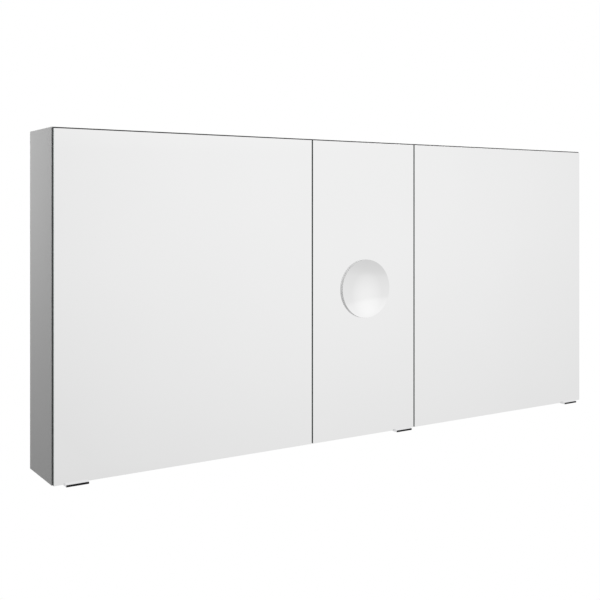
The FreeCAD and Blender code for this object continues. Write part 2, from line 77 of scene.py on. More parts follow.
BOARDS = (
    "left_side_panel",
    "right_side_panel",
    "top_panel",
    "bottom_panel",
    "left_partition",
    "right_partition",
    "back_panel",
)
DOORS = ("left", "middle", "right")
BAYS = ("left", "middle", "right")
LEVELS = ("lower", "upper")
MILLIMETRE = 0.001
MERGE_DISTANCE = 1e-6
FLAT_ANGLE = math.radians(1)
CORNER_ANGLE = math.radians(35)
QUARTER_TURN = math.pi / 2
TURNS = {"X": (0, QUARTER_TURN, 0), "Y": (QUARTER_TURN, 0, 0), "Z": (0, 0, 0)}

# Where a point holds its depth and its height
DEPTH = 1
HEIGHT = 2

# Steps across a rounded edge, and sides round a round piece
CHAMFER = 1
EASED = 2
ROUNDED = 3
DOMED = 5
SHANK_SIDES = 16
HEAD_SIDES = 32
ROD_SIDES = 48
DISH_SIDES = 192
DISH_RINGS = 32
SCOOP_SIDES = 256

# The share of a face's normal that lies along an axis, for a face square to it and for one that leans
FLAT_ON = 0.99
LOOKS_ALONG = 0.5
# The second material of a pane, a shelf or the magnifier's glass is its edge
EDGE = 1
# A screw's cross reaches this share of the head's width from the middle
CROSS_REACH = 0.3
# Large faces count in full when a piece's shading is evened out
FACE_WEIGHT = 100
# Most of a noise pattern lies between these values
PATTERN_LOW = 0.3
PATTERN_HIGH = 0.7
FLOOR_ROUGHNESS = 0.9
WHITE = (1, 1, 1, 1)

# The room that the mirrors show: its shades between a view down to its floor and one up to its ceiling,
# the way to its brightest wall, and how far from that way its corners are darkest, and how dark
ROOM_DOWN = -0.5
ROOM_UP = 0.5
ROOM_SHADES = (
    (0.03, 0.735), (0.12, 0.765), (0.18, 0.800), (0.24, 0.848), (0.33, 0.869),
    (0.45, 0.890), (0.56, 0.904), (0.62, 0.970), (0.70, 1.000), (0.78, 1.030),
)
ROOM_MIDDLE = (0.56, -0.83, 0.0)
CORNER_FACING = 0.939
CORNER_SHADE = 0.91


def length(name, description, default):
    """A length that a user can change."""
    return FloatProperty(name=name, description=description, default=default, unit="LENGTH", precision=5)


def power(name, description, default):
    """A lamp's power that a user can change."""
    return FloatProperty(name=name, description=description, default=default, unit="POWER")


def position(name, description, default):
    """A place that a user can change."""
    return FloatVectorProperty(name=name, description=description, default=default, subtype="TRANSLATION")


def colour(name, description, default):
    """A colour that a user can change."""
    return FloatVectorProperty(
        name=name, description=description, default=default, subtype="COLOR", size=3, min=0, max=1
    )


class CabinetSizes(PropertyGroup):
    """Small sizes of the finished pieces."""

    board_arris: length("Board arris", "Rounding of the edges of the lacquered boards", 0.0003)
    band_arris: length("Band arris", "Rounding of the front of the edge bands", 0.0003)
    pane_arris: length("Pane arris", "Chamfer round the face of a mirror pane", 0.0003)
    shelf_arris: length("Shelf arris", "Polished rounding of the glass shelves", 0.0010)
    casting_arris: length("Casting arris", "Rounding of the hinge castings", 0.0003)
    plate_arris: length("Plate arris", "Rounding of the wall plates and shelf supports", 0.0003)
    bumper_dome: length("Bumper dome", "Rounding of the front of a bumper", 0.0012)
    pull_arris: length("Pull arris", "Rounding of the edges of a pull", 0.0003)
    pull_lip: length("Pull lip", "Thickness of a pull's lip at its top", 0.0012)
    pull_nose: length("Pull nose", "Height of a pull's nose", 0.0042)
    pull_scoop: length("Pull scoop", "Radius of the hollow in the front of a pull", 0.0093)
    strip_arris: length("Strip arris", "Rounding of the dark strip on a pull's nose", 0.0003)
    screw_shank: length("Screw shank", "Radius of a screw's shank", 0.0015)
    screw_head: length("Screw head", "Height of a screw's head", 0.0012)
    screw_slot: length("Screw slot", "Width of the cross recess in a screw", 0.0008)
    screw_slot_depth: length("Slot depth", "Depth of the cross recess in a screw", 0.0006)
    rim_arris: length("Rim arris", "Rounding of the back of the magnifier's housing", 0.0004)
    well_radius: length("Well radius", "Radius of the well that the magnifier sits in", 0.0600)
    well_play: length("Well play", "Gap between the magnifier's housing and its well", 0.0004)
    flange_lift: length("Flange lift", "Gap behind the flange of the magnifier's housing", 0.0003)
    dish_curve: length("Dish curve", "Radius of the magnifier's hollow face", 0.240)
    dish_glass: length("Dish glass", "Thickness of the magnifier's glass", 0.0012)
    dish_glue: length("Dish glue", "Gap between the magnifier's glass and its housing", 0.0002)


class CabinetFinishes(PropertyGroup):
    """Colours of the cabinet's surfaces."""

    lacquer: colour("Lacquer", "Satin lacquer of the boards", (0.36, 0.36, 0.36))
    silver: colour("Silver", "Silvered face of a mirror", (0.96, 0.96, 0.96))
    pane_edge: colour("Pane edge", "Polished edge of a mirror pane", (0.36, 0.41, 0.39))
    core: colour("Core", "Board between the two panes of a door", (0.020, 0.020, 0.021))
    shelf: colour("Shelf", "Clear glass of the shelves", (0.94, 0.98, 0.96))
    shelf_edge: colour("Shelf edge", "Polished edge of the shelves", (0.45, 0.72, 0.62))
    chrome: colour("Chrome", "Pulls", (0.86, 0.86, 0.87))
    # The strip's near-black colour is a painted reflection of the chrome nose's dark front edge
    strip: colour("Strip", "Dark strip on the nose of a pull", (0.015, 0.015, 0.016))
    hinge: colour("Hinge", "Nickel plate of the hinges", (0.66, 0.64, 0.60))
    steel: colour("Steel", "Screws, pins, supports and wall plates", (0.58, 0.58, 0.57))
    buffer: colour("Buffer", "Soft clear bumpers", (0.90, 0.90, 0.88))
    rim: colour("Rim", "Housing of the magnifier", (0.78, 0.78, 0.78))
    pad: colour("Pad", "Glued pad behind the magnifier", (0.02, 0.02, 0.02))
    beech: colour("Beech", "Dowels in the boards", (0.55, 0.36, 0.20))


class CabinetStage(PropertyGroup):
    """Camera, lamps and floor."""

    camera_place: position("Camera place", "Where the camera stands", (-1.31864, -1.92191, 0.19136))
    camera_turn: FloatProperty(
        name="Camera turn", description="How far the camera turns right", default=0.571343, subtype="ANGLE"
    )
    lens: FloatProperty(name="Lens", description="Focal length of the lens", default=55.563, unit="CAMERA")
    lens_drop: FloatProperty(name="Lens drop", description="Downward shift of the lens", default=0.15335)
    floor: colour("Floor", "Pale floor below the cabinet", (0.8, 0.8, 0.8))
    floor_width: length("Floor width", "Width of the floor", 40)
    floor_drop: length("Floor drop", "Height of the cabinet's middle above the floor", 1.50)
    ambient: FloatProperty(name="Ambient", description="Strength of the light from all round", default=0.28)
    key_place: position("Key place", "Where the soft lamp on the left hangs", (-1.45, 0.15, 0.46))
    key_width: length("Key width", "Width of the soft lamp on the left", 0.4)
    key_power: power("Key power", "Power of the soft lamp on the left", 5.2)
    front_place: position("Front place", "Where the soft lamp in front hangs", (1.30, -2.60, 1.00))
    front_width: length("Front width", "Width of the soft lamp in front", 1.2)
    front_power: power("Front power", "Power of the soft lamp in front", 60)
    fill_place: position("Fill place", "Where the soft lamp behind on the right hangs", (1.90, 1.20, 1.60))
    fill_width: length("Fill width", "Width of the soft lamp behind on the right", 1.2)
    fill_power: power("Fill power", "Power of the soft lamp behind on the right", 20)


class Finish:
    """A material in the making: one shader, and patterns on Object coordinates that vary it."""

    def __init__(self, name, base, roughness, **sockets):
        self.material = bpy.data.materials.new(name)
        self.material.use_nodes = True
        self.nodes = self.material.node_tree.nodes
        self.links = self.material.node_tree.links
        self.shader = self.nodes["Principled BSDF"]
        self.place = self.nodes.new("ShaderNodeTexCoord").outputs["Object"]
        self.shader.inputs["Base Color"].default_value = (*base, 1)
        self.shader.inputs["Roughness"].default_value = roughness
        for socket, value in sockets.items():
            self.shader.inputs[socket.replace("_", " ")].default_value = value

    def noise(self, grain, detail=2.0, stretch=(1, 1, 1)):
        """Cloudy noise with about this many metres between its spots."""
        mapping = self.nodes.new("ShaderNodeMapping")
        mapping.inputs["Scale"].default_value = stretch
        noise = self.nodes.new("ShaderNodeTexNoise")
        noise.inputs["Scale"].default_value = 1 / grain
        noise.inputs["Detail"].default_value = detail
        self.links.new(self.place, mapping.inputs["Vector"])
        self.links.new(mapping.outputs["Vector"], noise.inputs["Vector"])
        return noise.outputs["Fac"]

    def tint(self, pattern, dark, light):
        """Runs the colour between two shades with a pattern."""
        ramp = self.nodes.new("ShaderNodeValToRGB")
        low, high = ramp.color_ramp.elements
        low.position = PATTERN_LOW
        low.color = (*dark, 1)
        high.position = PATTERN_HIGH
        high.color = (*light, 1)
        self.links.new(pattern, ramp.inputs["Fac"])
        self.links.new(ramp.outputs["Color"], self.shader.inputs["Base Color"])
        return self

    def polish(self, pattern, smooth, rough):
        """Runs the roughness between two values with a pattern."""
        spread = self.nodes.new("ShaderNodeMapRange")
        spread.inputs["From Min"].default_value = PATTERN_LOW
        spread.inputs["From Max"].default_value = PATTERN_HIGH
        spread.inputs["To Min"].default_value = smooth
        spread.inputs["To Max"].default_value = rough
        self.links.new(pattern, spread.inputs["Value"])
        self.links.new(spread.outputs["Result"], self.shader.inputs["Roughness"])
        return self

    def relief(self, pattern, depth, strength):
        """Raises the surface a little with a pattern."""
        bump = self.nodes.new("ShaderNodeBump")
        bump.inputs["Strength"].default_value = strength
        bump.inputs["Distance"].default_value = depth
        self.links.new(pattern, bump.inputs["Height"])
        self.links.new(bump.outputs["Normal"], self.shader.inputs["Normal"])
        return self


def shade(base, factor):
    """A colour made lighter or darker."""
    return tuple(min(1.0, value * factor) for value in base)


def satin_lacquer(base):
    """Sprayed satin lacquer: a faint cloud of tone and a fine orange peel."""
    finish = Finish("grey_satin_lacquer", base, roughness=0.45, Specular_IOR_Level=0.25)
    finish.tint(finish.noise(grain=0.25), dark=shade(base, 0.98), light=shade(base, 1.02))
    peel = finish.noise(grain=0.0016, detail=1.0)
    finish.polish(peel, smooth=0.42, rough=0.48)
    return finish.relief(peel, depth=0.00002, strength=0.3).material


def mirror_silver(name, base):
    """Silvered glass, with the faintest uneven polish."""
    finish = Finish(name, base, roughness=0.01, Metallic=1.0)
    cloud = finish.noise(grain=0.3)
    finish.tint(cloud, dark=shade(base, 0.995), light=shade(base, 1.005))
    return finish.polish(cloud, smooth=0.004, rough=0.012).material


def polished_edge(base):
    """The polished edge of a mirror pane, with the pale green of its glass and faint polishing lines."""
    finish = Finish("polished_pane_edge", base, roughness=0.15, Specular_IOR_Level=0.5)
    lines = finish.noise(grain=0.0012, stretch=(1, 1, 0.1))
    finish.tint(lines, dark=shade(base, 0.9), light=shade(base, 1.1))
    return finish.polish(lines, smooth=0.10, rough=0.22).material


def dark_core(base):
    """Dark fibre board between two panes."""
    finish = Finish("dark_door_core", base, roughness=0.6, Specular_IOR_Level=0.15)
    fibre = finish.noise(grain=0.0015, detail=4.0)
    finish.tint(fibre, dark=shade(base, 0.75), light=shade(base, 1.25))
    return finish.relief(fibre, depth=0.00005, strength=0.4).material


def clear_glass(name, base):
    """Clear float glass with the green cast of its iron."""
    finish = Finish(name, base, roughness=0.0, IOR=1.5, Transmission_Weight=1.0)
    cloud = finish.noise(grain=0.15)
    finish.tint(cloud, dark=shade(base, 0.99), light=shade(base, 1.01))
    return finish.polish(cloud, smooth=0.0, rough=0.01).material


def polished_chrome(base):
    """Bright chrome with a trace of polishing lines along X."""
    finish = Finish("polished_chrome", base, roughness=0.1, Metallic=1.0)
    lines = finish.noise(grain=0.0004, stretch=(0.05, 1, 1))
    finish.tint(lines, dark=shade(base, 0.98), light=shade(base, 1.02))
    finish.polish(lines, smooth=0.07, rough=0.14)
    return finish.relief(lines, depth=0.000004, strength=0.2).material


def painted_reflection_finish(base):
    """Near-black strip with a fine grain. Its darkness is a painted reflection that stands in for the dark
    front edge of the chrome nose.
    """
    finish = Finish("painted_reflection_strip_finish", base, roughness=0.55, Specular_IOR_Level=0.1)
    speckle = finish.noise(grain=0.0006)
    finish.tint(speckle, dark=shade(base, 0.8), light=shade(base, 1.2))
    return finish.relief(speckle, depth=0.00004, strength=0.4).material


def plated_metal(name, base, grain, smooth, rough):
    """Plated metal with a fine uneven gloss."""
    finish = Finish(name, base, roughness=(smooth + rough) / 2, Metallic=1.0)
    cloud = finish.noise(grain, detail=3.0)
    finish.tint(cloud, dark=shade(base, 0.95), light=shade(base, 1.05))
    finish.polish(cloud, smooth, rough)
    return finish.relief(cloud, depth=0.00001, strength=0.15).material


def soft_buffer(base):
    """Clear soft plastic with a milky body."""
    finish = Finish("soft_buffer", base, roughness=0.3, IOR=1.45, Transmission_Weight=0.7)
    haze = finish.noise(grain=0.001)
    finish.tint(haze, dark=shade(base, 0.95), light=shade(base, 1.05))
    return finish.polish(haze, smooth=0.25, rough=0.4).material


def foam_pad(base):
    """Closed-cell foam with small pores."""
    finish = Finish("foam_pad", base, roughness=0.8)
    pores = finish.noise(grain=0.0008)
    finish.tint(pores, dark=shade(base, 0.6), light=shade(base, 1.4))
    return finish.relief(pores, depth=0.0001, strength=0.5).material


def beech_wood(base):
    """Pale beech with short flecks along the dowel."""
    finish = Finish("pale_beech", base, roughness=0.6)
    flecks = finish.noise(grain=0.0015, detail=3.0, stretch=(0.2, 1, 0.2))
    finish.tint(flecks, dark=shade(base, 0.8), light=shade(base, 1.1))
    return finish.relief(flecks, depth=0.00005, strength=0.4).material


def make_active(piece):
    """Selects one object alone."""
    bpy.ops.object.select_all(action="DESELECT")
    piece.select_set(True)
    bpy.context.view_layer.objects.active = piece


def named(name):
    """The object just added, with its place and size moved into its mesh."""
    piece = bpy.context.object
    piece.name = name
    piece.data.name = name
    bpy.ops.object.transform_apply(location=True, rotation=True, scale=True)
    return piece


def new_block(name, low, high):
    """A block between two corners."""
    bpy.ops.object.select_all(action="DESELECT")
    bpy.ops.mesh.primitive_cube_add(size=1, location=(low + high) / 2)
    bpy.context.object.scale = high - low
    return named(name)


def new_rod(name, middle, radius, depth, axis, sides=ROD_SIDES):
    """A round rod along an axis."""
    bpy.ops.object.select_all(action="DESELECT")
    bpy.ops.mesh.primitive_cylinder_add(
        vertices=sides, radius=radius, depth=depth, location=middle, rotation=TURNS[axis]
    )
    return named(name)


def pick_edges(piece, test):
    """In edit mode, selects only the edges that pass a test."""
    bpy.ops.mesh.select_mode(type="EDGE")
    bpy.ops.mesh.select_all(action="DESELECT")
    for edge in bmesh.from_edit_mesh(piece.data).edges:
        if test(edge):
            edge.select_set(True)
    bmesh.update_edit_mesh(piece.data)


def near(value, target):
    """Whether two measures are the same."""
    return abs(value - target) < MERGE_DISTANCE


def lies_at(edge, axis, value):
    """Whether both ends of an edge lie in a plane square to an axis."""
    return all(near(corner.co[axis], value) for corner in edge.verts)


def bevel_edges(piece, width, steps, test):
    """Bevels the edges that pass a test."""
    make_active(piece)
    bpy.ops.object.mode_set(mode="EDIT")
    pick_edges(piece, test)
    bpy.ops.mesh.bevel(offset=width, segments=steps, affect="EDGES", clamp_overlap=True)
    bpy.ops.object.mode_set(mode="OBJECT")


def modify(piece, kind, **settings):
    """Adds a modifier and applies it."""
    make_active(piece)
    bpy.ops.object.modifier_add(type=kind)
    modifier = piece.modifiers[-1]
    for name, value in settings.items():
        setattr(modifier, name, value)
    bpy.ops.object.modifier_apply(modifier=modifier.name)


def soften(piece, width, steps=EASED):
    """Rounds every sharp edge."""
    modify(piece, "BEVEL", width=width, segments=steps, limit_method="ANGLE", angle_limit=CORNER_ANGLE)


def take_out(piece, tool):
    """Cuts one object out of another and deletes the tool."""
    modify(piece, "BOOLEAN", operation="DIFFERENCE", object=tool, solver="EXACT")
    make_active(tool)
    bpy.ops.object.delete()


def join(pieces, name):
    """Makes one object of several."""
    bpy.ops.object.select_all(action="DESELECT")
    for piece in pieces:
        piece.select_set(True)
    bpy.context.view_layer.objects.active = pieces[0]
    if len(pieces) > 1:
        bpy.ops.object.join()
    pieces[0].name = name
    pieces[0].data.name = name
    return pieces[0]


def copy_of(node, name):
    """A solid of the frame as a clean mesh of its own, with its flat faces whole."""
    mesh = frame["nodes"][node].data.copy()
    mesh.name = name
    mesh.materials.clear()
    piece = bpy.data.objects.new(name, mesh)
    bpy.context.scene.collection.objects.link(piece)
    make_active(piece)
    bpy.ops.object.mode_set(mode="EDIT")
    bpy.ops.mesh.select_all(action="SELECT")
    bpy.ops.mesh.remove_doubles(threshold=MERGE_DISTANCE)
    bpy.ops.mesh.dissolve_limited(angle_limit=FLAT_ANGLE)
    bpy.ops.object.mode_set(mode="OBJECT")
    return piece


def loose_solids(node):
    """The corner points of each separate solid of a node."""
    copy_of(node, f"{node}_loose")
    bpy.ops.object.mode_set(mode="EDIT")
    bpy.ops.mesh.select_all(action="SELECT")
    bpy.ops.mesh.separate(type="LOOSE")
    bpy.ops.object.mode_set(mode="OBJECT")
    solids = []
    for piece in list(bpy.context.selected_objects):
        solids.append([corner.co.copy() for corner in piece.data.vertices])
        bpy.data.objects.remove(piece)
    return solids


def corners(points):
    """The lowest and highest corners of some points."""
    low = Vector(map(min, zip(*points)))
    high = Vector(map(max, zip(*points)))
    return low, high


def paint(piece, index, test):
    """Gives a material slot to the faces that pass a test."""
    for face in piece.data.polygons:
        if test(face):
            face.material_index = index


def dress(piece, slot, materials, *nodes, flat=False):
    """Finishes a piece: its materials, its shading, and the nodes that it stands for."""
    for material in materials:
        piece.data.materials.append(material)
    make_active(piece)
    if flat:
        bpy.ops.object.shade_flat()
    else:
        bpy.ops.object.shade_smooth_by_angle(angle=CORNER_ANGLE)
        modify(piece, "WEIGHTED_NORMAL", weight=FACE_WEIGHT, keep_sharp=True)
    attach(piece, frame["nodes"][nodes[0]]["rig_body"])
    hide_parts(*nodes)


def coat(node, material):
    """Gives a node of the frame a better material."""
    slots = frame["nodes"][node].data.materials
    slots.clear()
    slots.append(material)


class CABINET_OT_boards(Operator):
    """Models the lacquered boards of the carcass and the bands on their front edges"""

    bl_idname = "cabinet.boards"
    bl_label = "Boards and edge bands"

    def execute(self, context):
        sizes = context.scene.cabinet_sizes
        lacquer = satin_lacquer(context.scene.cabinet_finishes.lacquer)
        for node in BOARDS:
            low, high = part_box(node)
            board = new_block(f"{node}_lacquered", low, high)
            bevel_edges(board, sizes.board_arris, EASED, lambda edge: not lies_at(edge, DEPTH, low.y))
            if node == "back_panel":
                self.drill(board, low, high)
            dress(board, "grey_lacquer", [lacquer], node)
        strips = [self.band(node, sizes.band_arris) for node in BOARDS if node != "back_panel"]
        bands = join(strips, "carcass_edge_band_strips")
        dress(bands, "grey_lacquer", [lacquer], "carcass_edge_bands")
        return {"FINISHED"}

    def drill(self, board, low, high):
        """Bores the holes for the wall screws."""
        mount = next(item for item in frame["record"]["mounts"] if item["kind"] == "bolt_pattern")
        sizes = {name: value * MILLIMETRE for name, value in mount["dims"].items()}
        through = 2 * (high.y - low.y)
        for across in (-0.5, 0.5):
            for up in (-0.5, 0.5):
                middle = (across * sizes["spacing_x_mm"], (low.y + high.y) / 2, up * sizes["spacing_y_mm"])
                take_out(board, new_rod("bore", middle, sizes["hole_r_mm"], through, "Y"))

    def band(self, node, arris):
        """The strip on a board's front edge, with its own front edges eased."""
        low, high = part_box(node)
        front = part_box("carcass_edge_bands")[0].y
        strip = new_block("edge_band", Vector((low.x, front, low.z)), Vector((high.x, low.y, high.z)))
        bevel_edges(strip, arris, EASED, lambda edge: lies_at(edge, DEPTH, front))
        return strip


class CABINET_OT_shelves(Operator):
    """Models the glass shelves"""

    bl_idname = "cabinet.shelves"
    bl_label = "Glass shelves"

    def execute(self, context):
        sizes = context.scene.cabinet_sizes
        finishes = context.scene.cabinet_finishes
        clear = clear_glass("clear_shelf", finishes.shelf)
        green = clear_glass("green_shelf_edge", finishes.shelf_edge)
        for bay in BAYS:
            for level in LEVELS:
                node = f"{bay}_{level}_shelf"
                shelf = new_block(f"{node}_glass", *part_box(node))
                bevel_edges(shelf, sizes.shelf_arris, ROUNDED, lambda edge: True)
                paint(shelf, EDGE, lambda face: abs(face.normal.z) < FLAT_ON)
                dress(shelf, "shelf_glass", [clear, green], node)
        return {"FINISHED"}


class CABINET_OT_fittings(Operator):
    """Models the shelf supports, wall plates and bumpers and finishes the dowels"""

    bl_idname = "cabinet.fittings"
    bl_label = "Carcass fittings"

    def execute(self, context):
        sizes = context.scene.cabinet_sizes
        finishes = context.scene.cabinet_finishes
        steel = plated_metal("zinc_plate", finishes.steel, grain=0.004, smooth=0.24, rough=0.34)
        for node in ("shelf_supports", "wall_plates"):
            piece = copy_of(node, f"{node}_plated")
            soften(piece, sizes.plate_arris)
            dress(piece, "nickel_steel", [steel], node)
        domes = [self.bumper(points, sizes.bumper_dome) for points in loose_solids("door_bumpers")]
        bumpers = join(domes, "door_bumper_domes")
        dress(bumpers, "clear_buffer", [soft_buffer(finishes.buffer)], "door_bumpers")
        coat("carcass_dowels", beech_wood(finishes.beech))
        return {"FINISHED"}

    def bumper(self, points, dome):
        """A round stop with a domed front."""
        low, high = corners(points)
        stop = new_rod("bumper", (low + high) / 2, (high.x - low.x) / 2, high.y - low.y, "Y")
        bevel_edges(stop, dome, DOMED, lambda edge: lies_at(edge, DEPTH, low.y))
        return stop


class CABINET_OT_panes(Operator):
    """Models the mirror panes of the doors and finishes their cores"""

    bl_idname = "cabinet.panes"
    bl_label = "Mirror panes"

    def execute(self, context):
        sizes = context.scene.cabinet_sizes
        finishes = context.scene.cabinet_finishes
        glass = [mirror_silver("pane_silver", finishes.silver), polished_edge(finishes.pane_edge)]
        core = dark_core(finishes.core)
        for door in DOORS:
            node = f"{door}_front_mirror"
            low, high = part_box(node)
            pane = new_block(f"{node}_pane", low, high)
            bevel_edges(pane, sizes.pane_arris, EASED, lambda edge: lies_at(edge, DEPTH, low.y))
            if door == "middle":
                through = 4 * (high.y - low.y)
                take_out(pane, new_rod("well", (0, low.y, 0), sizes.well_radius, through, "Y", DISH_SIDES))
            paint(pane, EDGE, lambda face: face.normal.y > -LOOKS_ALONG)
            dress(pane, "mirror_glass", glass, node, flat=True)
            node = f"{door}_rear_mirror"
            pane = copy_of(node, f"{node}_pane")
            soften(pane, sizes.pane_arris, CHAMFER)
            paint(pane, EDGE, lambda face: face.normal.y < LOOKS_ALONG)
            dress(pane, "mirror_glass", glass, node, flat=True)
            coat(f"{door}_door_core", core)
        return {"FINISHED"}


class CABINET_OT_hinges(Operator):
    """Models the hinge castings and finishes their pins"""

    bl_idname = "cabinet.hinges"
    bl_label = "Hinges"

    def execute(self, context):
        sizes = context.scene.cabinet_sizes
        finishes = context.scene.cabinet_finishes
        nickel = plated_metal("nickel_plate", finishes.hinge, grain=0.006, smooth=0.22, rough=0.32)
        for door in DOORS:
            for level in LEVELS:
                for part in ("cup", "arm", "base"):
                    node = f"{door}_{level}_hinge_{part}"
                    casting = copy_of(node, f"{node}_plated")
                    soften(casting, sizes.casting_arris)
                    dress(casting, "nickel_hinge", [nickel], node)
        coat("hinge_pins", plated_metal("pin_steel", finishes.steel, grain=0.003, smooth=0.15, rough=0.25))
        return {"FINISHED"}


class CABINET_OT_screws(Operator):
    """Models the cross-head screws of the hinges and pulls"""

    bl_idname = "cabinet.screws"
    bl_label = "Screws"

    def execute(self, context):
        sizes = context.scene.cabinet_sizes
        finishes = context.scene.cabinet_finishes
        steel = plated_metal("screw_steel", finishes.steel, grain=0.002, smooth=0.25, rough=0.35)
        for node in ("hinge_base_screws", *(f"{door}_door_screws" for door in DOORS)):
            made = [self.screw(points, sizes) for points in loose_solids(node)]
            dress(join(made, f"{node}_cross_head"), "nickel_steel", [steel], node)
        return {"FINISHED"}

    def screw(self, points, sizes):
        """One screw in the place of a plain one, with a rounded head and a cross in it."""
        low, high = corners(points)
        size = high - low
        axis = max(range(3), key=lambda index: size[index])
        across = max(size[index] for index in range(3) if index != axis)
        middle = (low + high) / 2
        widest = max(points, key=lambda point: self.from_axis(point - middle, axis))
        out = Vector((0, 0, 0))
        out[axis] = 1 if widest[axis] > middle[axis] else -1
        shank_length = size[axis] - sizes.screw_head
        shank_middle = (0, 0, shank_length / 2)
        shank = new_rod("shank", shank_middle, sizes.screw_shank, shank_length, "Z", SHANK_SIDES)
        head_middle = (0, 0, shank_length + sizes.screw_head / 2)
        head = new_rod("head", head_middle, across / 2, sizes.screw_head, "Z", HEAD_SIDES)
        top = shank_length + sizes.screw_head
        bevel_edges(head, sizes.screw_head / 2, ROUNDED, lambda edge: lies_at(edge, HEIGHT, top))
        reach = across * CROSS_REACH
        slot = sizes.screw_slot / 2
        depth = sizes.screw_slot_depth
        for half in (Vector((reach, slot, depth)), Vector((slot, reach, depth))):
            centre = Vector((0, 0, top))
            take_out(head, new_block("cross", centre - half, centre + half))
        screw = join([head, shank], "screw")
        make_active(screw)
        screw.rotation_euler = out.to_track_quat("Z", "Y").to_euler()
        screw.location = middle - out * size[axis] / 2
        bpy.ops.object.transform_apply(location=True, rotation=True, scale=True)
        return screw

    def from_axis(self, point, axis):
        """How far a point lies from an axis through the origin."""
        flat = point.copy()
        flat[axis] = 0
        return flat.length


class CABINET_OT_pulls(Operator):
    """Models the clip pulls and their dark strips"""

    bl_idname = "cabinet.pulls"
    bl_label = "Pulls"

    def execute(self, context):
        sizes = context.scene.cabinet_sizes
        chrome = polished_chrome(context.scene.cabinet_finishes.chrome)
        painted_reflection_material = painted_reflection_finish(context.scene.cabinet_finishes.strip)
        for door in DOORS:
            clip = self.clip(door, sizes)
            dress(clip, "chrome_pull", [chrome], f"{door}_pull")
            # The near-black strip is a painted reflection of the chrome nose's dark front edge
            node = f"{door}_pull_strip"
            strip = new_block(f"{node}_rounded", *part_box(node))
            soften(strip, sizes.strip_arris, ROUNDED)
            dress(strip, "dark_strip", [painted_reflection_material], node)
        return {"FINISHED"}

    def clip(self, door, sizes):
        """A clip under a door: a web, and a lip in front that is hollowed down to the nose."""
        low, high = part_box(f"{door}_pull")
        pane_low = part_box(f"{door}_front_mirror")[0]
        clip = new_block(f"{door}_pull_clip", low, high)
        margin = high.x - low.x
        seat_low = Vector((low.x - margin, pane_low.y, pane_low.z))
        seat_high = Vector((high.x + margin, high.y + margin, high.z + margin))
        take_out(clip, new_block("door_seat", seat_low, seat_high))
        lip_top = Vector((0, pane_low.y - sizes.pull_lip, high.z))
        nose_top = Vector((0, low.y, low.z + sizes.pull_nose))
        chord = nose_top - lip_top
        throw = math.sqrt(sizes.pull_scoop**2 - chord.length_squared / 4)
        outward = Vector((0, chord.z, -chord.y)).normalized()
        centre = (lip_top + nose_top) / 2 + outward * throw
        centre.x = (low.x + high.x) / 2
        take_out(clip, new_rod("scoop", centre, sizes.pull_scoop, 2 * margin, "X", SCOOP_SIDES))
        soften(clip, sizes.pull_arris, ROUNDED)
        return clip


